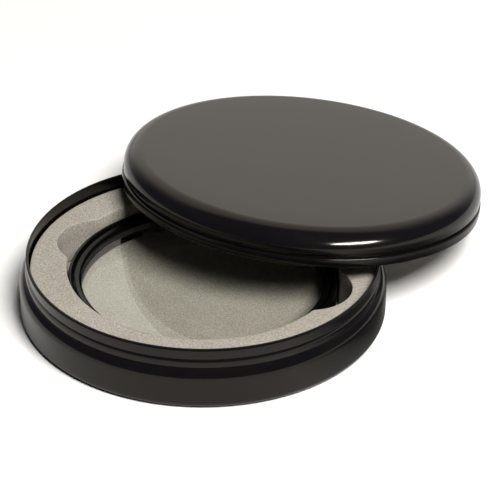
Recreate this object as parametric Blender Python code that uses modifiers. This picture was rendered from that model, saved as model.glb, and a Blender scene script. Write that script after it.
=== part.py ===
"""Round push-lid case holding a negative lens in its cell, with the lid leaning on the open base.

Frame: metres, +Z up, origin at the centre of the base's flat underside.
Lengths below are in millimetres and angles in degrees; MM turns a length into metres.
"""
import math

import bmesh
import bpy
from mathutils import Matrix, Vector

MM = 0.001
SEGMENTS = 64                # sides of every turned piece
GAP = 0.3                    # clearance between pieces that touch

# Pressed base pan
SHEET = 0.8                  # sheet thickness of base and lid
BODY_RADIUS = 57.0
BASE_HEIGHT = 19.5
FOOT_RADIUS = 2.0            # rounded edge between underside and wall
SHOULDER_RADIUS = 4.4        # curve of the soft shoulder above the straight wall
SHOULDER_INSET = 1.9         # how far the shoulder comes in
NECK_LENGTH = 6.3            # from the crease above the shoulder to the rim
NECK_INSET = 2.2             # body radius less the rim's radius
BEAD_HEIGHT = 1.3            # snap bead at the foot of the neck
BEAD_TAPER = 1.5             # height in which it runs back to the neck
NECK_DRAFT = 0.1             # how much narrower the neck is above the bead than at the rim

# Pressed lid, measured down from its flat top
LID_OVERHANG = 1.1           # how far the skirt band stands outside the body wall
LID_HEIGHT = 11.3
CROWN_INSET = 0.3            # skirt band less the widest part of the rounded edge
CROWN_EDGE = 5.7             # radius of the rounded edge
LID_GROOVE_TOP = 7.1
LID_GROOVE_HEIGHT = 1.5
LID_GROOVE_DEPTH = 0.9
SKIRT_CHAMFER = 0.4

# Where the lid leans
LID_LEAN = 8.3               # tilt of the lid's axis from vertical
LID_AZIMUTH = 55.9           # direction in which it leans, from +X
LID_OFFSET = 54.7            # from the base's centre to the lid's skirt centre, in plan
LID_GAP = 0.1                # clearance where the lid rests on the rim

# Foam
FLOOR_PAD_THICKNESS = 1.0
NEST_THICKNESS = 12.7
LID_PAD_THICKNESS = 5.4
LID_PAD_MARGIN = 0.6         # how far the lid pad stays inside the flat of the lid
NOTCH_RADIUS = 13.0          # finger notches
NOTCH_REACH = 6.45           # how far they reach past the seat
NOTCH_AZIMUTH = 159.5
NOTCH_FILLET = 1.2
NOTCH_COUNT = 2
NEST_POINTS = 128

# Lens cell
CELL_CLEARANCE = 0.35        # radial play of the cell in its nest
CELL_LIP = 0.8               # height of the ledge that carries the glass
CELL_LIP_WIDTH = 1.6
CELL_RIM_WIDTH = 0.95
CELL_RIM_STEP = 0.75
CELL_RIM_RISE = 0.5          # rim above the retaining ring
THREAD_STEP = 0.7            # ledge between the glass bore and the wider threaded bore
THREAD_RUNOUT = 1.0          # how far the threaded bore goes below the retaining ring
THREAD_WALL = 1.6            # cell wall outside the retaining ring's thread
BOSS_INSET = 0.9             # male thread boss below the grip band
BOSS_HEIGHT = 2.6
EDGE_BREAK = 0.25

# Glass
LENS_RADIUS = 39.2
FRONT_CURVATURE = 750.0      # concave front surface
CEMENT_CURVATURE = 900.0     # surface where the two elements meet
FRONT_CENTRE = 2.88           # centre thickness of the front element
REAR_CENTRE = 1.3
LENS_RINGS = 6

# Rings that hold the glass
SLIP_THICKNESS = 0.35
SLIP_WIDTH = 1.3
RETAINER_HEIGHT = 1.1
RETAINER_WIDTH = 2.2
RETAINER_BEVEL = 0.6
SPANNER_SLOT_WIDTH = 2.0
SPANNER_SLOT_DEPTH = 0.5
SPANNER_AZIMUTH = 65.0

# Sizes that follow from the ones above
CREASE_Z = BASE_HEIGHT - NECK_LENGTH
SHOULDER_TURN = math.acos(1 - SHOULDER_INSET / SHOULDER_RADIUS)
WALL_TOP = CREASE_Z - SHOULDER_RADIUS * math.sin(SHOULDER_TURN)
NECK_RADIUS = BODY_RADIUS - NECK_INSET
NECK_BORE = NECK_RADIUS - NECK_DRAFT - SHEET     # the neck is narrowest just above the bead
FLOOR_PAD_BASE = SHEET + GAP
FLOOR_PAD_TOP = FLOOR_PAD_BASE + FLOOR_PAD_THICKNESS
INSERT_RADIUS = NECK_BORE - GAP
LID_RADIUS = BODY_RADIUS + LID_OVERHANG
CROWN_RADIUS = LID_RADIUS - CROWN_INSET
GLASS_BORE = LENS_RADIUS + GAP + 0.1
THREAD_BORE = GLASS_BORE + THREAD_STEP
CELL_RADIUS = THREAD_BORE + THREAD_WALL
NEST_BASE = FLOOR_PAD_TOP + GAP
NEST_RADIUS = CELL_RADIUS + CELL_CLEARANCE
NOTCH_CENTRE = NEST_RADIUS + NOTCH_REACH - NOTCH_RADIUS
CELL_BASE = FLOOR_PAD_TOP + GAP
SEAT_Z = CELL_BASE + CELL_LIP
REAR_BASE = SEAT_Z + GAP
FRONT_VERTEX = REAR_BASE + REAR_CENTRE + GAP + FRONT_CENTRE


def sagitta(curvature, radius):
    """Depth of a spherical surface of that radius of curvature, at a distance from its axis."""
    return curvature - math.sqrt(curvature ** 2 - radius ** 2)


GLASS_EDGE_Z = FRONT_VERTEX + sagitta(FRONT_CURVATURE, LENS_RADIUS)
SLIP_BASE = GLASS_EDGE_Z + 0.8 * GAP
RETAINER_BASE = SLIP_BASE + SLIP_THICKNESS + GAP
RETAINER_RADIUS = THREAD_BORE - GAP
RETAINER_BORE = RETAINER_RADIUS - RETAINER_WIDTH
CELL_TOP = RETAINER_BASE + RETAINER_HEIGHT + CELL_RIM_RISE


# ---------------------------------------------------------------- helpers

def clear_scene():
    for obj in list(bpy.data.objects):
        bpy.data.objects.remove(obj, do_unlink=True)


def make_collection(name):
    collection = bpy.data.collections.new(name)
    bpy.context.scene.collection.children.link(collection)
    return collection


def make_material(name, colour, roughness, metallic=0.0, transmission=0.0):
    material = bpy.data.materials.new(name)
    material.use_nodes = True
    shader = material.node_tree.nodes["Principled BSDF"]
    shader.inputs["Base Color"].default_value = (*colour, 1.0)
    shader.inputs["Roughness"].default_value = roughness
    shader.inputs["Metallic"].default_value = metallic
    shader.inputs["Transmission Weight"].default_value = transmission
    return material


def add_object(name, data, collection, material=None, parent=None):
    obj = bpy.data.objects.new(name, data)
    collection.objects.link(obj)
    if material:
        obj.data.materials.append(material)
    obj.parent = parent
    return obj


def settle(obj):
    """Replace the object's mesh by what its modifiers make, shaded smooth with crisp corners."""
    bpy.context.view_layer.update()
    graph = bpy.context.evaluated_depsgraph_get()
    mesh = bpy.data.meshes.new_from_object(obj.evaluated_get(graph))
    obj.modifiers.clear()
    obj.data = mesh
    mesh.shade_smooth()
    mesh.set_sharp_from_angle(angle=math.radians(35))


def screw_profile(obj):
    screw = obj.modifiers.new("turn", "SCREW")
    screw.axis = "Z"
    screw.angle = 2 * math.pi
    screw.steps = SEGMENTS
    screw.render_steps = SEGMENTS
    screw.use_merge_vertices = True
    screw.merge_threshold = 0.00001
    screw.use_normal_calculate = False


def turned(name, profile, collection, material, parent=None, closed=False, sheet=0.0):
    """Turn a profile of (radius, height) points about Z; sheet thickens it inward."""
    mesh = bpy.data.meshes.new(name)
    verts = [(radius * MM, 0.0, height * MM) for radius, height in profile]
    edges = [(i, i + 1) for i in range(len(verts) - 1)]
    if closed:
        edges.append((len(verts) - 1, 0))
    mesh.from_pydata(verts, edges, [])
    obj = add_object(name, mesh, collection, material, parent)
    screw_profile(obj)
    if sheet:
        solid = obj.modifiers.new("sheet", "SOLIDIFY")
        solid.thickness = sheet * MM
        solid.offset = -1.0
        solid.use_even_offset = True
    settle(obj)
    return obj


def disc(name, radius, base, thickness, collection, material, parent=None):
    bpy.ops.mesh.primitive_cylinder_add(vertices=SEGMENTS, radius=radius * MM, depth=thickness * MM)
    obj = bpy.context.object
    obj.name = name
    obj.data.name = name
    for owner in list(obj.users_collection):
        owner.objects.unlink(obj)
    collection.objects.link(obj)
    obj.data.materials.append(material)
    obj.parent = parent
    obj.location = (0.0, 0.0, (base + thickness / 2) * MM)
    obj.data.shade_smooth()
    obj.data.set_sharp_from_angle(angle=math.radians(35))
    return obj


def arc(centre, radius, start, end, steps):
    """Points on an arc, in degrees from the outward direction, ends included."""
    points = []
    for i in range(steps + 1):
        angle = math.radians(start + (end - start) * i / steps)
        points.append((centre[0] + radius * math.cos(angle), centre[1] + radius * math.sin(angle)))
    return points


# ---------------------------------------------------------------- case

def base_profile():
    """Outer line of the base, from the rim down to the centre of the underside."""
    bead_radius = BODY_RADIUS - SHOULDER_INSET
    bead_top = CREASE_Z + BEAD_HEIGHT
    shoulder = (BODY_RADIUS - SHOULDER_RADIUS, WALL_TOP)
    foot = (BODY_RADIUS - FOOT_RADIUS, FOOT_RADIUS)
    profile = [(NECK_RADIUS, BASE_HEIGHT), (NECK_RADIUS - NECK_DRAFT, bead_top + BEAD_TAPER)]
    profile.append((bead_radius - 0.1, bead_top + BEAD_TAPER / 2))
    profile.append((bead_radius, bead_top))
    profile += arc(shoulder, SHOULDER_RADIUS, math.degrees(SHOULDER_TURN), 0, 5)
    profile += arc(foot, FOOT_RADIUS, 0, -90, 4)
    profile.append((0.0, 0.0))
    return profile


def lid_profile():
    """Outer line of the lid in its own frame, from the centre of its top down to the skirt's edge."""
    groove_bottom = LID_GROOVE_TOP + LID_GROOVE_HEIGHT
    groove_radius = CROWN_RADIUS - LID_GROOVE_DEPTH
    profile = [(0.0, 0.0)]
    profile += arc((CROWN_RADIUS - CROWN_EDGE, -CROWN_EDGE), CROWN_EDGE, 90, 0, 7)
    profile.append((CROWN_RADIUS - 0.3, -LID_GROOVE_TOP))
    profile.append((groove_radius, -LID_GROOVE_TOP - 0.5))
    profile.append((groove_radius, -groove_bottom + 0.4))
    profile.append((LID_RADIUS - 0.1, -groove_bottom))
    profile.append((LID_RADIUS, -groove_bottom - 0.4))
    profile.append((LID_RADIUS, -LID_HEIGHT + SKIRT_CHAMFER))
    profile.append((LID_RADIUS - SKIRT_CHAMFER, -LID_HEIGHT))
    return profile


def lid_pose():
    """Where the lid rests: its skirt on the base's rim at two points, its pad over the far rim."""
    slope = math.tan(math.radians(LID_LEAN))
    skirt_bore = LID_RADIUS - SKIRT_CHAMFER - SHEET
    crossing = (LID_OFFSET ** 2 + NECK_RADIUS ** 2 - skirt_bore ** 2) / (2 * LID_OFFSET)
    on_skirt = BASE_HEIGHT + LID_GAP - slope * (LID_OFFSET - crossing)
    pad_height = (LID_HEIGHT - SHEET - GAP - LID_PAD_THICKNESS) / math.cos(math.radians(LID_LEAN))
    on_pad = BASE_HEIGHT + LID_GAP - pad_height + slope * (NECK_RADIUS - LID_OFFSET)
    direction = Vector((math.cos(math.radians(LID_AZIMUTH)), math.sin(math.radians(LID_AZIMUTH)), 0.0))
    skirt_centre = direction * LID_OFFSET + Vector((0.0, 0.0, max(on_skirt, on_pad)))
    turn = Matrix.Rotation(math.radians(LID_AZIMUTH), 4, "Z")
    lean = Matrix.Rotation(math.radians(LID_LEAN), 4, "Y")
    rotation = turn @ lean @ turn.inverted()
    top_centre = skirt_centre + rotation @ Vector((0.0, 0.0, LID_HEIGHT))
    return Matrix.Translation(top_centre * MM) @ rotation


def nest_radius(angle):
    """Distance from the centre to the nest's edge: a round seat with two scalloped finger notches."""
    radius = NEST_RADIUS
    for i in range(NOTCH_COUNT):
        off = angle - math.radians(NOTCH_AZIMUTH) - 2 * math.pi * i / NOTCH_COUNT
        off = math.atan2(math.sin(off), math.cos(off))
        reach = NOTCH_RADIUS ** 2 - (NOTCH_CENTRE * math.sin(off)) ** 2
        if reach > 0 and abs(off) < math.pi / 2:
            notch = NOTCH_CENTRE * math.cos(off) + math.sqrt(reach)
            blend = math.hypot(notch - radius, NOTCH_FILLET)
            radius = max(radius, (notch + radius + blend - NOTCH_FILLET) / 2)
    return radius


def add_ring_spline(curve, points):
    spline = curve.splines.new("POLY")
    spline.points.add(len(points) - 1)
    for point, (x, y) in zip(spline.points, points):
        point.co = (x * MM, y * MM, 0.0, 1.0)
    spline.use_cyclic_u = True


def around(count, radius_at):
    """Points round the centre; radius_at gives the radius for each angle."""
    points = []
    for i in range(count):
        angle = 2 * math.pi * i / count
        points.append((radius_at(angle) * math.cos(angle), radius_at(angle) * math.sin(angle)))
    return points


def make_foam_nest(collection, material):
    curve = bpy.data.curves.new("foam_nest", "CURVE")
    curve.dimensions = "2D"
    curve.fill_mode = "BOTH"
    curve.extrude = NEST_THICKNESS / 2 * MM
    add_ring_spline(curve, around(SEGMENTS, lambda angle: INSERT_RADIUS))
    add_ring_spline(curve, around(NEST_POINTS, nest_radius))
    guide = add_object("foam_nest_outline", curve, collection, material)
    bpy.context.view_layer.update()
    graph = bpy.context.evaluated_depsgraph_get()
    mesh = bpy.data.meshes.new_from_object(guide.evaluated_get(graph))
    bpy.data.objects.remove(guide, do_unlink=True)
    shape = bmesh.new()
    shape.from_mesh(mesh)
    bmesh.ops.remove_doubles(shape, verts=shape.verts, dist=0.000001)
    bmesh.ops.recalc_face_normals(shape, faces=shape.faces)
    shape.to_mesh(mesh)
    shape.free()
    mesh.shade_smooth()
    mesh.set_sharp_from_angle(angle=math.radians(35))
    obj = bpy.data.objects.new("foam_nest", mesh)
    collection.objects.link(obj)
    obj.location = (0.0, 0.0, (NEST_BASE + NEST_THICKNESS / 2) * MM)


# ---------------------------------------------------------------- lens

def make_cell(collection, material, parent):
    boss = CELL_RADIUS - BOSS_INSET
    lip = GLASS_BORE - CELL_LIP_WIDTH
    rim_inner = CELL_RADIUS - CELL_RIM_WIDTH
    thread_end = RETAINER_BASE - THREAD_RUNOUT
    profile = [(rim_inner, CELL_TOP), (CELL_RADIUS - EDGE_BREAK, CELL_TOP)]
    profile += [(CELL_RADIUS, CELL_TOP - EDGE_BREAK), (CELL_RADIUS, CELL_BASE + BOSS_HEIGHT + EDGE_BREAK)]
    profile += [(boss, CELL_BASE + BOSS_HEIGHT), (boss, CELL_BASE + EDGE_BREAK)]
    profile += [(boss - EDGE_BREAK, CELL_BASE), (lip, CELL_BASE), (lip, SEAT_Z), (GLASS_BORE, SEAT_Z)]
    profile += [(GLASS_BORE, thread_end), (THREAD_BORE, thread_end), (THREAD_BORE, CELL_TOP - CELL_RIM_STEP)]
    turned("cell_ring", profile, collection, material, parent, closed=True)


def lens_radii():
    return [LENS_RADIUS * i / LENS_RINGS for i in range(LENS_RINGS + 1)]


def make_front_element(collection, material, parent):
    back_vertex = FRONT_VERTEX - FRONT_CENTRE
    front = [(r, FRONT_VERTEX + sagitta(FRONT_CURVATURE, r)) for r in lens_radii()]
    back = [(r, back_vertex - sagitta(CEMENT_CURVATURE, r)) for r in reversed(lens_radii())]
    turned("front_element", front + back, collection, material, parent)


def make_rear_element(collection, material, parent):
    vertex = REAR_BASE + REAR_CENTRE
    front = [(r, vertex - sagitta(CEMENT_CURVATURE, r)) for r in lens_radii()]
    turned("rear_element", front + [(LENS_RADIUS, REAR_BASE), (0.0, REAR_BASE)], collection, material, parent)


def make_slip_ring(collection, material, parent):
    inner = LENS_RADIUS - SLIP_WIDTH
    top = SLIP_BASE + SLIP_THICKNESS
    profile = [(inner, top), (LENS_RADIUS, top), (LENS_RADIUS, SLIP_BASE), (inner, SLIP_BASE)]
    turned("slip_ring", profile, collection, material, parent, closed=True)


def make_retaining_ring(collection, cutters, material, parent):
    top = RETAINER_BASE + RETAINER_HEIGHT
    shelf = RETAINER_BORE + RETAINER_BEVEL
    profile = [(shelf, top - EDGE_BREAK), (RETAINER_RADIUS, top), (RETAINER_RADIUS, RETAINER_BASE)]
    profile += [(RETAINER_BORE, RETAINER_BASE), (RETAINER_BORE, top - EDGE_BREAK - RETAINER_BEVEL)]
    ring = turned("retaining_ring", profile, collection, material, parent, closed=True)
    bpy.ops.mesh.primitive_cube_add(size=1.0)
    cutter = bpy.context.object
    cutter.name = "spanner_slots"
    for owner in list(cutter.users_collection):
        owner.objects.unlink(cutter)
    cutters.objects.link(cutter)
    size = Vector((2.5 * RETAINER_RADIUS, SPANNER_SLOT_WIDTH, 2 * SPANNER_SLOT_DEPTH)) * MM
    cutter.data.transform(Matrix.Diagonal((*size, 1.0)))
    cutter.location = (0.0, 0.0, top * MM)
    cutter.rotation_euler = (0.0, 0.0, math.radians(SPANNER_AZIMUTH))
    cutter.hide_render = True
    cutter.display_type = "WIRE"
    cut = ring.modifiers.new("spanner_slots", "BOOLEAN")
    cut.operation = "DIFFERENCE"
    cut.object = cutter
    settle(ring)


# ---------------------------------------------------------------- assembly

def add_empty(name, collection, matrix):
    empty = bpy.data.objects.new(name, None)
    collection.objects.link(empty)
    empty.matrix_world = matrix
    return empty


def main():
    clear_scene()
    parts = make_collection("lens_case")
    cutters = make_collection("cutters")
    black_coat = make_material("satin_black_case", (0.035, 0.033, 0.031), 0.35, 0.6)
    black_cell = make_material("black_anodised_cell", (0.012, 0.012, 0.013), 0.4, 0.8)
    foam = make_material("warm_grey_foam", (0.42, 0.39, 0.34), 0.95)
    glass = make_material("coated_glass", (0.95, 0.98, 0.96), 0.02, 0.0, 1.0)
    nylon = make_material("black_nylon", (0.02, 0.02, 0.02), 0.5)

    turned("base_shell", base_profile(), parts, black_coat, sheet=SHEET)
    disc("floor_pad", INSERT_RADIUS, FLOOR_PAD_BASE, FLOOR_PAD_THICKNESS, parts, foam.copy())
    make_foam_nest(parts, foam.copy())

    lid = add_empty("lid_frame", parts, lid_pose())
    turned("lid_shell", lid_profile(), parts, black_coat.copy(), lid, sheet=SHEET)
    pad_radius = CROWN_RADIUS - CROWN_EDGE - LID_PAD_MARGIN
    pad_base = -SHEET - GAP - LID_PAD_THICKNESS
    disc("lid_pad", pad_radius, pad_base, LID_PAD_THICKNESS, parts, foam.copy(), lid)

    lens = add_empty("lens_axis", parts, Matrix.Identity(4))
    make_cell(parts, black_cell, lens)
    make_rear_element(parts, glass, lens)
    make_front_element(parts, glass.copy(), lens)
    make_slip_ring(parts, nylon, lens)
    make_retaining_ring(parts, cutters, black_cell.copy(), lens)


main()
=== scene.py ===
"""Round metal lens case with its lid leaning on it, a foam nest, and a barlow lens in its cell.

Everything is built in millimetres round the base's axis, or in the lid's own frame, and scaled by MM.
"""
import math

import bmesh
import bpy
from mathutils import Matrix, Vector


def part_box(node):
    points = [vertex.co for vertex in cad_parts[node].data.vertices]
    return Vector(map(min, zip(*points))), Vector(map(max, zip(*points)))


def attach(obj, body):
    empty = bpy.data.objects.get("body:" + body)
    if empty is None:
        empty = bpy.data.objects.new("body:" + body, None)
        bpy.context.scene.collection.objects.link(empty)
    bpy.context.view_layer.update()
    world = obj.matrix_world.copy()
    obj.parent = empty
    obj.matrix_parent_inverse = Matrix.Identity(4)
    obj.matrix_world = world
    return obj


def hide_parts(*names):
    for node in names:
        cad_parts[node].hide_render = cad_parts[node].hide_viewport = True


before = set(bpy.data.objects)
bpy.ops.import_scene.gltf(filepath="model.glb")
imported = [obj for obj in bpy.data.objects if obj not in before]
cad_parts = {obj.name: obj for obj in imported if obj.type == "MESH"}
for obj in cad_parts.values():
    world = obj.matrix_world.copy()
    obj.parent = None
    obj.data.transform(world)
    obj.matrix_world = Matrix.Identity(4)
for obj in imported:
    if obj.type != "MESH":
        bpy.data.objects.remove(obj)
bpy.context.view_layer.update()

MM = 0.001
CRISP = 30                   # a corner sharper than this many degrees stays crisp
PAN_COLUMNS = 256            # faces round each turned shape
NEST_COLUMNS = 512
DISC_COLUMNS = 192
LOCK_COLUMNS = 384

# Base pan, pressed from sheet
BASE_HEIGHT = 19.5
BODY_RADIUS = 57.0
SHEET = 0.8
FOOT_RADIUS = 2.0
WALL_FOOT = 3.5              # where the straight wall starts above the foot
SHOULDER_RADIUS = 4.4
SHOULDER_INSET = 1.9
CREASE_Z = 13.2
BEAD_TOP = 14.5
BEAD_ROUND = 3.0             # curve from the bead's top toward the neck
TAPER_TOP = 16.0
NECK_RADIUS = 54.7
RIM_RADIUS = 54.85
RIM_CHAMFER = 0.65

# Lid, measured down from its flat top
LID_LEAN = 8.3
LID_AZIMUTH = 55.9
LID_PAD_THICKNESS = 5.4
LID_PAD_RADIUS = 51.5
LID_PAD_GAP = 0.3            # between the pad and the sheet over it
CROWN_RADIUS = 57.8
CROWN_EDGE = 5.7
CROWN_BOTTOM = 7.3
GROOVE_RADIUS = 56.9
GROOVE_BOTTOM = 8.2
SKIRT_RADIUS = 58.1
SKIRT_SHOULDER = 0.45
LID_HEIGHT = 11.3

# Foam
FLOOR_PAD_BASE = 1.1
FLOOR_PAD_THICKNESS = 1.0
NEST_BASE = 2.4
NEST_TOP = 15.1
NEST_OUTER = 53.5
NEST_SEAT = 42.25
NOTCH_RADIUS = 13.0
NOTCH_CENTRE = 35.7
NOTCH_AZIMUTH = 159.5
NOTCH_FILLET = 1.2
NOTCH_COUNT = 2
CUT_EDGE = 0.35              # softness of a die-cut edge in foam

# Lens cell
CELL_BASE = 2.4
CELL_TOP = 11.5
CELL_RADIUS = 41.9
CELL_RIM_WIDTH = 0.95
THREAD_BORE = 40.3
THREAD_PITCH = 0.75
THREAD_DEPTH = 0.3
THREAD_STEP = THREAD_PITCH / 6
MALE_THREAD_LENGTH = 2.05
FEMALE_THREAD_START = 0.8    # below the rim
FEMALE_THREAD_LENGTH = 1.8
FEMALE_THREAD_END = 2.7
GLASS_BORE = 39.6
CELL_LIP = 38.0
SEAT_Z = 3.2
BOSS_RADIUS = 41.0
BOSS_TOP = 5.0
EDGE_BREAK = 0.25
KNURL_BASE = 6.3             # a plain groove runs below and above the knurl
KNURL_TOP = 9.9
KNURL_GROOVE = 0.1
KNURL_STEP = 0.55
KNURL_ROWS = 7
KNURL_DEPTH = 0.22
KNURL_TEETH = 180

# Glass
LENS_RADIUS = 39.2
LENS_BEVEL = 0.3
FRONT_VERTEX = 7.98
FRONT_CURVATURE = 750.0
REAR_BASE = 3.5

# Rings over the glass
SLIP_BASE = 9.25
SLIP_THICKNESS = 0.35
SLIP_WIDTH = 1.3
LOCK_BASE = 9.9
LOCK_TOP = 11.0
LOCK_OUTER = 40.0
LOCK_BORE = 37.8
LOCK_BEVEL = 0.6
SPANNER_AZIMUTH = 65.0
SPANNER_WIDTH = 2.0
SPANNER_DEPTH = 0.5

# Studio
TABLE_HALF_WIDTH = 2600.0
TABLE_FRONT = -155.0
DARK_ROOM = (0.12, 0.125, 0.19, 1.0)
WHITE_SWEEP = (1.04, 1.0, 0.91, 1.0)
SWEEP_SHARE = 0.08           # how much of its light falls on matt surfaces
CAMERA_PLACE = (0.01446, -0.73584, 0.47455)
CAMERA_DOWN = 31.6886
CAMERA_ROLL = 0.7472
CAMERA_LENS = 201.6
SENSOR_WIDTH = 36.0


# ---------------------------------------------------------------- materials

def linear(hex_colour):
    """An sRGB hex colour as linear red, green, blue and alpha."""
    channels = []
    for i in (0, 2, 4):
        value = int(hex_colour[i:i + 2], 16) / 255
        channels.append(value / 12.92 if value <= 0.04045 else ((value + 0.055) / 1.055) ** 2.4)
    return (*channels, 1.0)


def add_node(tree, kind, settings=None, links=None):
    """Add a node; settings go to its sockets or properties, and links join its sockets to outputs."""
    node = tree.nodes.new(kind)
    for key, value in (settings or {}).items():
        if isinstance(key, int) or key in node.inputs:
            node.inputs[key].default_value = value
        else:
            setattr(node, key, value)
    for key, source in (links or {}).items():
        tree.links.new(source, node.inputs[key])
    return node


def new_material(name, **settings):
    """A material with one Principled shader; returns it with its node tree and shader."""
    material = bpy.data.materials.new(name)
    material.use_nodes = True
    shader = material.node_tree.nodes["Principled BSDF"]
    for key, value in settings.items():
        shader.inputs[key.replace("_", " ")].default_value = value
    return material, material.node_tree, shader


def ramp(tree, source, stops):
    """A colour ramp over (position, hex colour) stops."""
    node = add_node(tree, "ShaderNodeValToRGB", links={"Fac": source})
    elements = node.color_ramp.elements
    while len(elements) < len(stops):
        elements.new(0.5)
    for element, (position, colour) in zip(elements, stops):
        element.position = position
        element.color = linear(colour)
    return node


def black_stove_enamel():
    """Black stoving enamel on pressed aluminium: near-black, glossy, with a faint orange peel."""
    material, tree, shader = new_material(
        "black_stove_enamel", IOR=1.38, Roughness=0.13, Specular_Tint=linear("fff4ec"))
    place = add_node(tree, "ShaderNodeTexCoord").outputs["Object"]
    # orange peel about 1.6 mm across
    peel = add_node(tree, "ShaderNodeTexNoise", {"Scale": 620.0, "Detail": 2.0}, {"Vector": place})
    # cloudiness of the coat, about 9 mm across
    cloud = add_node(tree, "ShaderNodeTexNoise", {"Scale": 110.0, "Detail": 3.0}, {"Vector": place})
    colour = ramp(tree, cloud.outputs["Fac"], [(0.3, "070606"), (0.7, "0b0a09")])
    tree.links.new(colour.outputs["Color"], shader.inputs["Base Color"])
    gloss = add_node(
        tree, "ShaderNodeMapRange", {"From Min": 0.3, "From Max": 0.7, "To Min": 0.12, "To Max": 0.15},
        {"Value": cloud.outputs["Fac"]})
    tree.links.new(gloss.outputs["Result"], shader.inputs["Roughness"])
    bump = add_node(
        tree, "ShaderNodeBump", {"Strength": 0.05, "Distance": 0.00005}, {"Height": peel.outputs["Fac"]})
    tree.links.new(bump.outputs["Normal"], shader.inputs["Normal"])
    return material


def black_anodised_aluminium():
    """Turned aluminium, black anodised: dark and satin, with fine tool lines round the axis."""
    material, tree, shader = new_material("black_anodised_aluminium", IOR=1.3, Roughness=0.24)
    place = add_node(tree, "ShaderNodeTexCoord").outputs["Object"]
    across = add_node(tree, "ShaderNodeSeparateXYZ", links={"Vector": place})
    flat = add_node(
        tree, "ShaderNodeCombineXYZ", {"Z": 0.0}, {"X": across.outputs["X"], "Y": across.outputs["Y"]})
    radius = add_node(
        tree, "ShaderNodeVectorMath", {"operation": "LENGTH"}, {"Vector": flat.outputs["Vector"]})
    line = add_node(
        tree, "ShaderNodeCombineXYZ", {"Z": 0.0}, {"X": radius.outputs["Value"], "Y": across.outputs["Z"]})
    # tool lines 0.15 mm apart, drawn coarser than the real 0.05 mm so that they show
    lines = add_node(
        tree, "ShaderNodeTexNoise", {"Scale": 6600.0, "Detail": 1.0}, {"Vector": line.outputs["Vector"]})
    colour = ramp(tree, lines.outputs["Fac"], [(0.35, "020202"), (0.7, "050505")])
    tree.links.new(colour.outputs["Color"], shader.inputs["Base Color"])
    gloss = add_node(
        tree, "ShaderNodeMapRange", {"From Min": 0.3, "From Max": 0.7, "To Min": 0.2, "To Max": 0.28},
        {"Value": lines.outputs["Fac"]})
    tree.links.new(gloss.outputs["Result"], shader.inputs["Roughness"])
    bump = add_node(
        tree, "ShaderNodeBump", {"Strength": 0.15, "Distance": 0.00003}, {"Height": lines.outputs["Fac"]})
    tree.links.new(bump.outputs["Normal"], shader.inputs["Normal"])
    return material


def polyethylene_foam():
    """Skived closed-cell foam: soft, chalky, with fine burst cells that give it a sandy grain."""
    material, tree, shader = new_material("skived_foam", IOR=1.45, Roughness=0.95)
    place = add_node(tree, "ShaderNodeTexCoord").outputs["Object"]
    # burst cells about 0.5 mm across
    cells = add_node(
        tree, "ShaderNodeTexNoise", {"Scale": 2000.0, "Detail": 3.0, "Roughness": 0.65}, {"Vector": place})
    cloud = add_node(tree, "ShaderNodeTexNoise", {"Scale": 90.0, "Detail": 2.0}, {"Vector": place})
    tone = add_node(
        tree, "ShaderNodeMath", {"operation": "MULTIPLY_ADD", 1: 0.12},
        {0: cloud.outputs["Fac"], 2: cells.outputs["Fac"]})
    colour = ramp(tree, tone.outputs["Value"], [(0.41, "817d74"), (0.71, "afaaa1")])
    tree.links.new(colour.outputs["Color"], shader.inputs["Base Color"])
    bump = add_node(
        tree, "ShaderNodeBump", {"Strength": 0.5, "Distance": 0.00015}, {"Height": cells.outputs["Fac"]})
    tree.links.new(bump.outputs["Normal"], shader.inputs["Normal"])
    return material


def crown_glass():
    """Polished optical glass: clear and sharp; lamps shine through it to what lies below."""
    material, tree, shader = new_material(
        "crown_glass", IOR=1.52, Roughness=0.0, Transmission_Weight=1.0, Base_Color=linear("fbfcfa"))
    path = add_node(tree, "ShaderNodeLightPath")
    open_way = add_node(tree, "ShaderNodeBsdfTransparent", {"Color": linear("f5f6f4")})
    lamp_or_bounce = add_node(
        tree, "ShaderNodeMath", {"operation": "MAXIMUM"},
        {0: path.outputs["Is Shadow Ray"], 1: path.outputs["Is Diffuse Ray"]})
    either = add_node(tree, "ShaderNodeMixShader", links={"Fac": lamp_or_bounce.outputs["Value"]})
    tree.links.new(shader.outputs["BSDF"], either.inputs[1])
    tree.links.new(open_way.outputs["BSDF"], either.inputs[2])
    tree.links.new(either.outputs["Shader"], tree.nodes["Material Output"].inputs["Surface"])
    return material


def blackened_ground_glass():
    """The lens's ground edge, painted matt black against stray light."""
    material, tree, shader = new_material("blackened_ground_glass", IOR=1.5, Roughness=0.8)
    place = add_node(tree, "ShaderNodeTexCoord").outputs["Object"]
    # brush-on paint, mottled every 2 mm
    mottle = add_node(tree, "ShaderNodeTexNoise", {"Scale": 500.0, "Detail": 2.0}, {"Vector": place})
    colour = ramp(tree, mottle.outputs["Fac"], [(0.3, "060606"), (0.7, "0e0d0c")])
    tree.links.new(colour.outputs["Color"], shader.inputs["Base Color"])
    return material


def black_nylon():
    """Die-cut black nylon film: satin, slightly uneven."""
    material, tree, shader = new_material("black_nylon", IOR=1.53, Roughness=0.45)
    place = add_node(tree, "ShaderNodeTexCoord").outputs["Object"]
    mottle = add_node(tree, "ShaderNodeTexNoise", {"Scale": 900.0, "Detail": 2.0}, {"Vector": place})
    colour = ramp(tree, mottle.outputs["Fac"], [(0.3, "0b0b0b"), (0.7, "141414")])
    tree.links.new(colour.outputs["Color"], shader.inputs["Base Color"])
    return material


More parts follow.
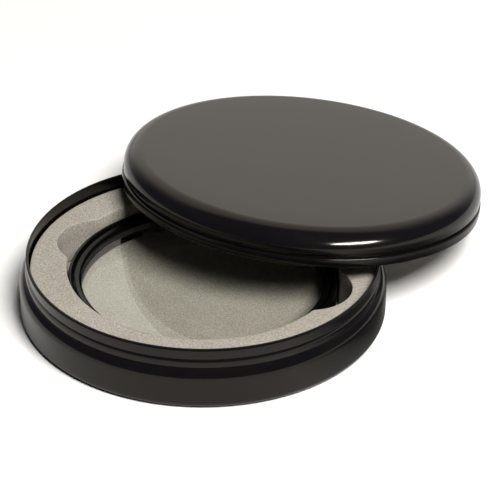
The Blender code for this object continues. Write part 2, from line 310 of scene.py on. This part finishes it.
def white_table_laminate():
    """Matt white laminate of the table; seen in the enamel, its near right side carries painted shade."""
    material, tree, shader = new_material("white_table_laminate", IOR=1.45, Roughness=0.9)
    place = add_node(tree, "ShaderNodeTexCoord").outputs["Object"]
    mottle = add_node(tree, "ShaderNodeTexNoise", {"Scale": 25.0, "Detail": 2.0}, {"Vector": place})
    colour = ramp(tree, mottle.outputs["Fac"], [(0.3, "f3f3f2"), (0.7, "f6f6f5")])
    # painted shade: the near right side, 85 mm out, is in the dark, so mirror rays see the colour darkened
    # round that spot
    away = add_node(
        tree, "ShaderNodeVectorMath", {"operation": "DISTANCE", 1: (0.085, -0.015, 0.0)}, {0: place})
    painted_shade = add_node(
        tree, "ShaderNodeMapRange", {"From Min": 0.025, "From Max": 0.06, "To Min": 0.95, "To Max": 0.18},
        {"Value": away.outputs["Value"]})
    path = add_node(tree, "ShaderNodeLightPath")
    share = add_node(
        tree, "ShaderNodeMath", {"operation": "MULTIPLY"},
        {0: path.outputs["Is Glossy Ray"], 1: painted_shade.outputs["Result"]})
    # mirror rays get the dark painted-shade colour mixed into the white
    shown = add_node(
        tree, "ShaderNodeMix", {"data_type": "RGBA", 7: linear("181614")},
        {"Factor": share.outputs["Value"], 6: colour.outputs["Color"]})
    tree.links.new(shown.outputs[2], shader.inputs["Base Color"])
    return material


# ---------------------------------------------------------------- mesh helpers

def arc(centre, radius, start, end, steps):
    """Points on an arc, in degrees from the outward direction, ends included."""
    points = []
    for i in range(steps + 1):
        angle = math.radians(start + (end - start) * i / steps)
        points.append((centre[0] + radius * math.cos(angle), centre[1] + radius * math.sin(angle)))
    return points


def divided(start, end, count):
    """Points on a straight line from start up to, but not including, end."""
    return [tuple(a + (b - a) * i / count for a, b in zip(start, end)) for i in range(count)]


def finish_mesh(name, shape, materials, place=None):
    """Make an object from a bmesh in millimetres, with smooth faces and crisp corners."""
    bmesh.ops.scale(shape, vec=(MM, MM, MM), verts=shape.verts)
    bmesh.ops.recalc_face_normals(shape, faces=shape.faces)
    mesh = bpy.data.meshes.new(name)
    shape.to_mesh(mesh)
    shape.free()
    mesh.shade_smooth()
    mesh.set_sharp_from_angle(angle=math.radians(CRISP))
    obj = bpy.data.objects.new(name, mesh)
    bpy.context.scene.collection.objects.link(obj)
    for material in materials:
        mesh.materials.append(material)
    if place is not None:
        mesh.transform(place)
    return obj


def turned(profile, columns, shape_at=None, closed=False):
    """Turn (radius, height) points about Z into a bmesh; shape_at may move a point at each angle."""
    shape = bmesh.new()
    rings = []
    for row, (radius, height) in enumerate(profile):
        if radius == 0.0:
            rings.append([shape.verts.new((0.0, 0.0, height))])
            continue
        ring = []
        for j in range(columns):
            angle = 2 * math.pi * j / columns
            r, z = shape_at(row, radius, height, angle) if shape_at else (radius, height)
            ring.append(shape.verts.new((r * math.cos(angle), r * math.sin(angle), z)))
        rings.append(ring)
    pairs = list(zip(rings, rings[1:]))
    if closed:
        pairs.append((rings[-1], rings[0]))
    for lower, upper in pairs:
        for j in range(columns):
            k = (j + 1) % columns
            if len(lower) == 1:
                shape.faces.new((lower[0], upper[j], upper[k]))
            elif len(upper) == 1:
                shape.faces.new((lower[j], lower[k], upper[0]))
            else:
                shape.faces.new((lower[j], lower[k], upper[k], upper[j]))
    return shape


def thread(height, angle, sense=1):
    """Depth from 0 at a crest to THREAD_DEPTH at a root, on a right-hand screw thread."""
    turn = (height / THREAD_PITCH - sense * angle / (2 * math.pi)) % 1.0
    return THREAD_DEPTH * (1 - abs(2 * turn - 1))


# ---------------------------------------------------------------- case

def make_base_pan(material):
    """The pressed pan: rolled foot, soft shoulder, snap bead that tapers into the neck, rounded rim."""
    turn = math.degrees(math.acos(1 - SHOULDER_INSET / SHOULDER_RADIUS))
    wall_top = CREASE_Z - SHOULDER_RADIUS * math.sin(math.radians(turn))
    bead = BODY_RADIUS - SHOULDER_INSET
    inner_wall = BODY_RADIUS - SHEET
    rim_inner = NECK_RADIUS - SHEET
    profile = [(0.0, 0.0)] + divided((12.0, 0.0), (BODY_RADIUS - FOOT_RADIUS, 0.0), 4)
    profile += arc((BODY_RADIUS - FOOT_RADIUS, FOOT_RADIUS), FOOT_RADIUS, -90, 0, 10)
    profile += divided((BODY_RADIUS, WALL_FOOT), (BODY_RADIUS, wall_top), 3)
    profile += arc((BODY_RADIUS - SHOULDER_RADIUS, wall_top), SHOULDER_RADIUS, 0, turn, 16)
    profile += [(bead - 0.12, CREASE_Z + 0.05), (bead - 0.03, CREASE_Z + 0.12), (bead, CREASE_Z + 0.3)]
    profile += arc((bead - BEAD_ROUND, BEAD_TOP), BEAD_ROUND, 0, 30, 8)
    profile += [(NECK_RADIUS - 0.02, TAPER_TOP + 0.08), (NECK_RADIUS, TAPER_TOP + 0.25)]
    profile += divided((NECK_RADIUS + 0.03, TAPER_TOP + 0.6), (RIM_RADIUS, BASE_HEIGHT - 0.75), 3)
    profile += arc((RIM_RADIUS - RIM_CHAMFER, BASE_HEIGHT - RIM_CHAMFER), RIM_CHAMFER, 0, 78, 9)
    profile += arc((rim_inner + 0.2, BASE_HEIGHT - 0.2), 0.2, 95, 180, 4)
    profile += divided((rim_inner, BASE_HEIGHT - 0.6), (rim_inner, TAPER_TOP), 3)
    profile += [(bead - SHEET, BEAD_TOP), (bead - SHEET, CREASE_Z), (bead + 0.4, CREASE_Z - 1.3)]
    profile += [(inner_wall, wall_top), (inner_wall, FOOT_RADIUS + SHEET)]
    profile += [(inner_wall - 0.6, SHEET + 0.4), (inner_wall - 2.0, SHEET), (20.0, SHEET), (0.0, SHEET)]
    return finish_mesh("base_pan", turned(profile, PAN_COLUMNS), [material])


def lid_frame():
    """Where the lid rests, from the middle of its pad: Z out of the lid's flat top, origin on that top."""
    turn = Matrix.Rotation(math.radians(LID_AZIMUTH), 4, "Z")
    lean = Matrix.Rotation(math.radians(LID_LEAN), 4, "Y")
    rotation = turn @ lean @ turn.inverted()
    low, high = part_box("lid_pad")
    rise = (LID_PAD_THICKNESS / 2 + LID_PAD_GAP + SHEET) * MM
    return Matrix.Translation((low + high) / 2 + rotation @ Vector((0.0, 0.0, rise))) @ rotation


def make_lid_pan(material, place):
    """The pressed lid: flat face, rounded crown, groove, and a skirt that steps out over it."""
    skirt_top = -GROOVE_BOTTOM - SKIRT_SHOULDER
    profile = [(0.0, 0.0)] + divided((10.0, 0.0), (CROWN_RADIUS - CROWN_EDGE, 0.0), 5)
    profile += arc((CROWN_RADIUS - CROWN_EDGE, -CROWN_EDGE), CROWN_EDGE, 90, 0, 26)
    profile += [(CROWN_RADIUS, -CROWN_BOTTOM + 0.5)]
    profile += arc((CROWN_RADIUS - 0.3, -CROWN_BOTTOM + 0.3), 0.3, 0, -90, 4)
    profile += [(GROOVE_RADIUS + 0.12, -CROWN_BOTTOM - 0.03), (GROOVE_RADIUS, -CROWN_BOTTOM - 0.2)]
    profile += [(GROOVE_RADIUS, -GROOVE_BOTTOM + 0.15), (GROOVE_RADIUS + 0.1, -GROOVE_BOTTOM)]
    for point in arc((0.0, 0.0), 1.0, 80, 0, 8):
        profile.append((GROOVE_RADIUS + (SKIRT_RADIUS - GROOVE_RADIUS) * point[0],
                        skirt_top + SKIRT_SHOULDER * point[1]))
    profile += [(SKIRT_RADIUS, -LID_HEIGHT + 0.5)]
    profile += arc((SKIRT_RADIUS - 0.4, -LID_HEIGHT + 0.4), 0.4, 0, -180, 8)
    inner = SKIRT_RADIUS - SHEET
    profile += [(inner, -LID_HEIGHT + 0.6), (inner, skirt_top - 0.2)]
    profile += [(GROOVE_RADIUS - SHEET, skirt_top + 0.6), (GROOVE_RADIUS - SHEET, -CROWN_BOTTOM)]
    profile += arc((CROWN_RADIUS - CROWN_EDGE, -CROWN_EDGE), CROWN_EDGE - SHEET, -5, 90, 10)
    profile += [(20.0, -SHEET), (0.0, -SHEET)]
    return finish_mesh("lid_pan", turned(profile, PAN_COLUMNS), [material], place)


# ---------------------------------------------------------------- foam

def nest_radius(angle):
    """Distance from the centre to the nest's edge: a round seat with two scalloped finger notches."""
    radius = NEST_SEAT
    for i in range(NOTCH_COUNT):
        off = angle - math.radians(NOTCH_AZIMUTH) - 2 * math.pi * i / NOTCH_COUNT
        off = math.atan2(math.sin(off), math.cos(off))
        reach = NOTCH_RADIUS ** 2 - (NOTCH_CENTRE * math.sin(off)) ** 2
        if reach > 0 and abs(off) < math.pi / 2:
            notch = NOTCH_CENTRE * math.cos(off) + math.sqrt(reach)
            blend = math.hypot(notch - radius, NOTCH_FILLET)
            radius = max(radius, (notch + radius + blend - NOTCH_FILLET) / 2)
    return radius


def make_foam_nest(material):
    """Die-cut foam ring: rows go up the outside, over the top and down the cut, with softened edges."""
    soft = CUT_EDGE
    rows = [(1.0, -0.2, NEST_BASE), (1.0, 0.0, NEST_BASE + 0.2)]
    rows += [(1.0, 0.0, NEST_BASE + 4.0), (1.0, 0.0, NEST_TOP - 4.0), (1.0, 0.0, NEST_TOP - soft)]
    rows += [(1.0, -0.3 * soft, NEST_TOP - 0.3 * soft), (1.0, -soft, NEST_TOP)]
    rows += [(share, 0.0, NEST_TOP) for share in (0.85, 0.7, 0.55, 0.4, 0.25, 0.12)]
    rows += [(0.0, soft, NEST_TOP), (0.0, 0.3 * soft, NEST_TOP - 0.3 * soft), (0.0, 0.0, NEST_TOP - soft)]
    rows += [(0.0, 0.0, NEST_TOP - 4.0), (0.0, 0.0, NEST_BASE + 4.0)]
    rows += [(0.0, 0.0, NEST_BASE + 0.2), (0.0, 0.2, NEST_BASE)]

    def across(row, radius, height, angle):
        share, offset, z = rows[row]
        inner = nest_radius(angle)
        return inner + (NEST_OUTER - inner) * share + offset, z

    profile = [(1.0, row[2]) for row in rows]
    shape = turned(profile, NEST_COLUMNS, across, closed=True)
    return finish_mesh("foam_nest_die_cut", shape, [material])


def make_foam_disc(name, radius, base, thickness, material, place=None):
    """A skived foam sheet cut to a disc, its edge slightly crowned."""
    top = base + thickness
    soft = min(0.3, thickness / 3)
    profile = [(0.0, base)] + divided((8.0, base), (radius - soft, base), 6)
    profile += [(radius - soft, base), (radius - 0.3 * soft, base + 0.3 * soft), (radius, base + soft)]
    profile += [(radius, top - soft), (radius - 0.3 * soft, top - 0.3 * soft), (radius - soft, top)]
    profile += list(reversed(divided((8.0, top), (radius - soft, top), 6))) + [(0.0, top)]
    return finish_mesh(name, turned(profile, DISC_COLUMNS), [material], place)


# ---------------------------------------------------------------- lens

def make_lens_cell(material):
    """The threaded ring: knurled grip band, male thread boss below, female thread and ledge inside."""
    rows = []

    def add(radius, height, kind="plain"):
        rows.append((radius, height, kind))

    add(CELL_LIP, CELL_BASE)
    add(BOSS_RADIUS - 0.4, CELL_BASE)
    for i in range(int(MALE_THREAD_LENGTH / THREAD_STEP) + 1):
        add(BOSS_RADIUS, CELL_BASE + 0.15 + i * THREAD_STEP, "male")
    add(BOSS_RADIUS - 0.3, BOSS_TOP - 0.12)
    add(BOSS_RADIUS - 0.3, BOSS_TOP)
    add(CELL_RADIUS - EDGE_BREAK, BOSS_TOP)
    add(CELL_RADIUS, BOSS_TOP + EDGE_BREAK)
    add(CELL_RADIUS, KNURL_BASE)
    add(CELL_RADIUS - KNURL_DEPTH, KNURL_BASE + KNURL_GROOVE)
    for i in range(KNURL_ROWS):
        add(CELL_RADIUS, KNURL_BASE + 2 * KNURL_GROOVE + i * KNURL_STEP, "knurl")
    add(CELL_RADIUS - KNURL_DEPTH, KNURL_TOP)
    add(CELL_RADIUS, KNURL_TOP + KNURL_GROOVE)
    add(CELL_RADIUS, CELL_TOP - EDGE_BREAK)
    add(CELL_RADIUS - 0.07, CELL_TOP - 0.07)
    add(CELL_RADIUS - EDGE_BREAK, CELL_TOP)
    add(CELL_RADIUS - CELL_RIM_WIDTH + 0.08, CELL_TOP)
    add(CELL_RADIUS - CELL_RIM_WIDTH, CELL_TOP - 0.08)
    add(THREAD_BORE + 0.15, CELL_TOP - 0.7)
    for i in range(int(FEMALE_THREAD_LENGTH / THREAD_STEP) + 1):
        add(THREAD_BORE - 0.1, CELL_TOP - FEMALE_THREAD_START - i * THREAD_STEP, "female")
    add(THREAD_BORE, CELL_TOP - FEMALE_THREAD_END)
    add(GLASS_BORE, CELL_TOP - FEMALE_THREAD_END)
    add(GLASS_BORE, SEAT_Z)
    add(CELL_LIP, SEAT_Z)

    def across(row, radius, height, angle):
        kind = rows[row][2]
        if kind == "male":
            radius -= thread(height, angle)
        elif kind == "female":
            radius += thread(height, angle)
        elif kind == "knurl":
            radius -= KNURL_DEPTH * abs(math.sin(angle * KNURL_TEETH / 2)) ** 3
        return radius, height

    profile = [(radius, height) for radius, height, kind in rows]
    shape = turned(profile, 3 * KNURL_TEETH, across, closed=True)
    return finish_mesh("lens_cell", shape, [material])


def front_sag(radius):
    return FRONT_CURVATURE - math.sqrt(FRONT_CURVATURE ** 2 - radius ** 2)


def make_glass_doublet(glass, edge_black):
    """The cemented pair as one clear solid, concave in front and flat behind, with a blackened edge."""
    steps = 20
    inside = LENS_RADIUS - LENS_BEVEL
    front = [(inside * i / steps, FRONT_VERTEX + front_sag(inside * i / steps)) for i in range(steps + 1)]
    edge_top = FRONT_VERTEX + front_sag(inside) - LENS_BEVEL
    profile = front + [(LENS_RADIUS, edge_top), (LENS_RADIUS, REAR_BASE + LENS_BEVEL)]
    profile += [(inside * i / steps, REAR_BASE) for i in range(steps, -1, -1)]
    obj = finish_mesh("glass_doublet", turned(profile, DISC_COLUMNS), [glass, edge_black])
    for face in obj.data.polygons:
        middle = math.hypot(face.center.x, face.center.y)
        if middle > (inside + 0.05) * MM:
            face.material_index = 1
    return obj


def make_slip_ring(material):
    inner = LENS_RADIUS - SLIP_WIDTH
    top = SLIP_BASE + SLIP_THICKNESS
    profile = [(inner, SLIP_BASE + 0.05), (inner + 0.05, SLIP_BASE), (LENS_RADIUS - 0.05, SLIP_BASE)]
    profile += [(LENS_RADIUS, SLIP_BASE + 0.05), (LENS_RADIUS, top - 0.05), (LENS_RADIUS - 0.05, top)]
    profile += [(inner + 0.05, top), (inner, top - 0.05)]
    return finish_mesh("nylon_slip_ring", turned(profile, DISC_COLUMNS, closed=True), [material])


def make_lock_ring(material):
    """The retaining ring: thread outside, bevel inside, and two spanner slots cut across its top."""
    rows = [(LOCK_BORE, LOCK_BASE + 0.1), (LOCK_BORE + 0.1, LOCK_BASE), (LOCK_OUTER - 0.35, LOCK_BASE)]
    threaded = [(LOCK_OUTER - 0.02, LOCK_BASE + 0.1 + i * THREAD_STEP) for i in range(8)]
    first, last = len(rows), len(rows) + len(threaded)
    rows += threaded
    rows += [(LOCK_OUTER - 0.35, LOCK_TOP), (LOCK_BORE + LOCK_BEVEL + 0.1, LOCK_TOP - 0.2)]
    rows += [(LOCK_BORE + LOCK_BEVEL, LOCK_TOP - 0.25), (LOCK_BORE, LOCK_TOP - 0.25 - LOCK_BEVEL)]

    def across(row, radius, height, angle):
        if first <= row < last:
            radius -= thread(height, angle)
        return radius, height

    ring = finish_mesh("slotted_lock_ring", turned(rows, LOCK_COLUMNS, across, closed=True), [material])
    shape = bmesh.new()
    bmesh.ops.create_cube(shape, size=1.0)
    size = Vector((2.5 * LOCK_OUTER, SPANNER_WIDTH, 2 * SPANNER_DEPTH))
    bmesh.ops.scale(shape, vec=size, verts=shape.verts)
    turn = Matrix.Rotation(math.radians(SPANNER_AZIMUTH), 4, "Z")
    cutter = finish_mesh("spanner_slots", shape, [], Matrix.Translation((0, 0, LOCK_TOP * MM)) @ turn)
    cut = ring.modifiers.new("spanner_slots", "BOOLEAN")
    cut.operation = "DIFFERENCE"
    cut.object = cutter
    bpy.context.view_layer.update()
    graph = bpy.context.evaluated_depsgraph_get()
    mesh = bpy.data.meshes.new_from_object(ring.evaluated_get(graph))
    ring.modifiers.clear()
    ring.data = mesh
    mesh.shade_smooth()
    mesh.set_sharp_from_angle(angle=math.radians(CRISP))
    bpy.data.objects.remove(cutter, do_unlink=True)
    return ring


# ---------------------------------------------------------------- studio

def make_table(material):
    """The table: its far part shows in every mirror finish, its near part only to the eye."""
    wide = TABLE_HALF_WIDTH
    for name, near, far in (("table", TABLE_FRONT, wide), ("table_front", -wide, TABLE_FRONT)):
        shape = bmesh.new()
        corners = [(-wide, near, 0.0), (wide, near, 0.0), (wide, far, 0.0), (-wide, far, 0.0)]
        shape.faces.new([shape.verts.new(corner) for corner in corners])
        table = finish_mesh(name, shape, [material])
        table.visible_glossy = name == "table"


def make_softbox(name, aim, azimuth, elevation, distance, size, watts, colour, seen_in_gloss):
    """A lamp that faces the point aim; angles in degrees, lengths in metres."""
    lamp = bpy.data.lights.new(name, "AREA")
    lamp.shape = "RECTANGLE"
    lamp.size, lamp.size_y = size
    lamp.energy = watts
    lamp.color = linear(colour)[:3]
    obj = bpy.data.objects.new(name, lamp)
    bpy.context.scene.collection.objects.link(obj)
    flat = math.cos(math.radians(elevation))
    toward = Vector((flat * math.cos(math.radians(azimuth)), flat * math.sin(math.radians(azimuth)),
                     math.sin(math.radians(elevation))))
    obj.location = Vector(aim) + toward * distance
    obj.rotation_euler = toward.to_track_quat("Z", "Y").to_euler()
    obj.visible_glossy = seen_in_gloss
    obj.visible_diffuse = not seen_in_gloss
    obj.visible_camera = False
    return obj


def make_studio_air():
    """The room: a white sweep behind the object, and a dark room in front, above and to the sides."""
    world = bpy.data.worlds.new("studio")
    bpy.context.scene.world = world
    world.use_nodes = True
    tree = world.node_tree
    way = add_node(tree, "ShaderNodeTexCoord").outputs["Generated"]
    back = add_node(
        tree, "ShaderNodeVectorMath", {"operation": "DOT_PRODUCT", 1: (0.0, 0.96, -0.28)}, {0: way})
    share = add_node(
        tree, "ShaderNodeMapRange", {"interpolation_type": "SMOOTHSTEP", "From Min": -0.18, "From Max": 0.18},
        {"Value": back.outputs["Value"]})
    apart = add_node(tree, "ShaderNodeSeparateXYZ", links={"Vector": way})
    aside = add_node(tree, "ShaderNodeMath", {"operation": "ABSOLUTE"}, {0: apart.outputs["X"]})
    width = add_node(
        tree, "ShaderNodeMapRange", {"interpolation_type": "SMOOTHSTEP", "From Min": 0.85, "From Max": 0.3},
        {"Value": aside.outputs["Value"]})
    panel = add_node(
        tree, "ShaderNodeMath", {"operation": "MULTIPLY"},
        {0: share.outputs["Result"], 1: width.outputs["Result"]})
    mixed = add_node(
        tree, "ShaderNodeMix", {"data_type": "RGBA", 6: DARK_ROOM, 7: WHITE_SWEEP},
        {"Factor": panel.outputs["Value"]})
    sky = tree.nodes["Background"]
    tree.links.new(mixed.outputs[2], sky.inputs["Color"])
    # the sweep is seen in the enamel, and adds little light of its own
    path = add_node(tree, "ShaderNodeLightPath")
    strength = add_node(
        tree, "ShaderNodeMapRange", {"To Min": 1.0, "To Max": SWEEP_SHARE},
        {"Value": path.outputs["Is Diffuse Ray"]})
    tree.links.new(strength.outputs["Result"], sky.inputs["Strength"])


def make_camera():
    """Long lens, high in front of the object."""
    camera = bpy.data.objects.new("camera", bpy.data.cameras.new("camera"))
    bpy.context.scene.collection.objects.link(camera)
    camera.data.lens = CAMERA_LENS
    camera.data.sensor_width = SENSOR_WIDTH
    camera.data.clip_end = 20.0
    pitch = Matrix.Rotation(math.radians(90 - CAMERA_DOWN), 4, "X")
    roll = Matrix.Rotation(math.radians(CAMERA_ROLL), 4, "Z")
    camera.matrix_world = Matrix.Translation(CAMERA_PLACE) @ pitch @ roll
    bpy.context.scene.camera = camera


# ---------------------------------------------------------------- assembly

def place(obj, body, slot, *nodes):
    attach(obj, body)
    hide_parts(*nodes)


def main():
    enamel = black_stove_enamel()
    anodised = black_anodised_aluminium()
    foam = polyethylene_foam()
    lid_at = lid_frame()

    place(make_base_pan(enamel), "case", "case_black", "base_shell")
    nest = make_foam_nest(foam)
    place(nest, "case", "foam", "foam_nest")
    sheet = make_foam_disc("foam_floor_sheet", NEST_OUTER, FLOOR_PAD_BASE, FLOOR_PAD_THICKNESS, foam)
    place(sheet, "case", "foam", "floor_pad")

    lid = make_lid_pan(enamel, lid_at)
    place(lid, "lid", "case_black", "lid_shell")
    pad_base = -SHEET - LID_PAD_GAP - LID_PAD_THICKNESS
    pad = make_foam_disc("foam_lid_liner", LID_PAD_RADIUS, pad_base, LID_PAD_THICKNESS, foam, lid_at)
    place(pad, "lid", "foam", "lid_pad")

    place(make_lens_cell(anodised), "lens", "cell_black", "cell_ring")
    glass = make_glass_doublet(crown_glass(), blackened_ground_glass())
    place(glass, "lens", "glass", "front_element", "rear_element")
    place(make_slip_ring(black_nylon()), "lens", "nylon", "slip_ring")
    place(make_lock_ring(anodised), "lock_ring", "cell_black", "retaining_ring")

    make_table(white_table_laminate())
    make_softbox(
        "key_softbox", aim=(0.0, 0.0, 0.0), azimuth=-54, elevation=59, distance=1.6, size=(0.78, 0.78),
        watts=44, colour="fffcf8", seen_in_gloss=False)
    # a small lamp close to the lid draws the highlight on its rounded edge
    edge_lamp = make_softbox(
        "edge_lamp", aim=(0.046, -0.009, 0.027), azimuth=-52, elevation=25, distance=0.1,
        size=(0.068, 0.018), watts=0.26, colour="fffaf4", seen_in_gloss=True)
    edge_lamp.data.shape = "ELLIPSE"
    lid_only = bpy.data.collections.new("lid_only")
    lid_only.objects.link(lid)
    edge_lamp.light_linking.receiver_collection = lid_only
    make_studio_air()
    make_camera()
    bpy.context.scene.view_settings.view_transform = "Standard"


main()
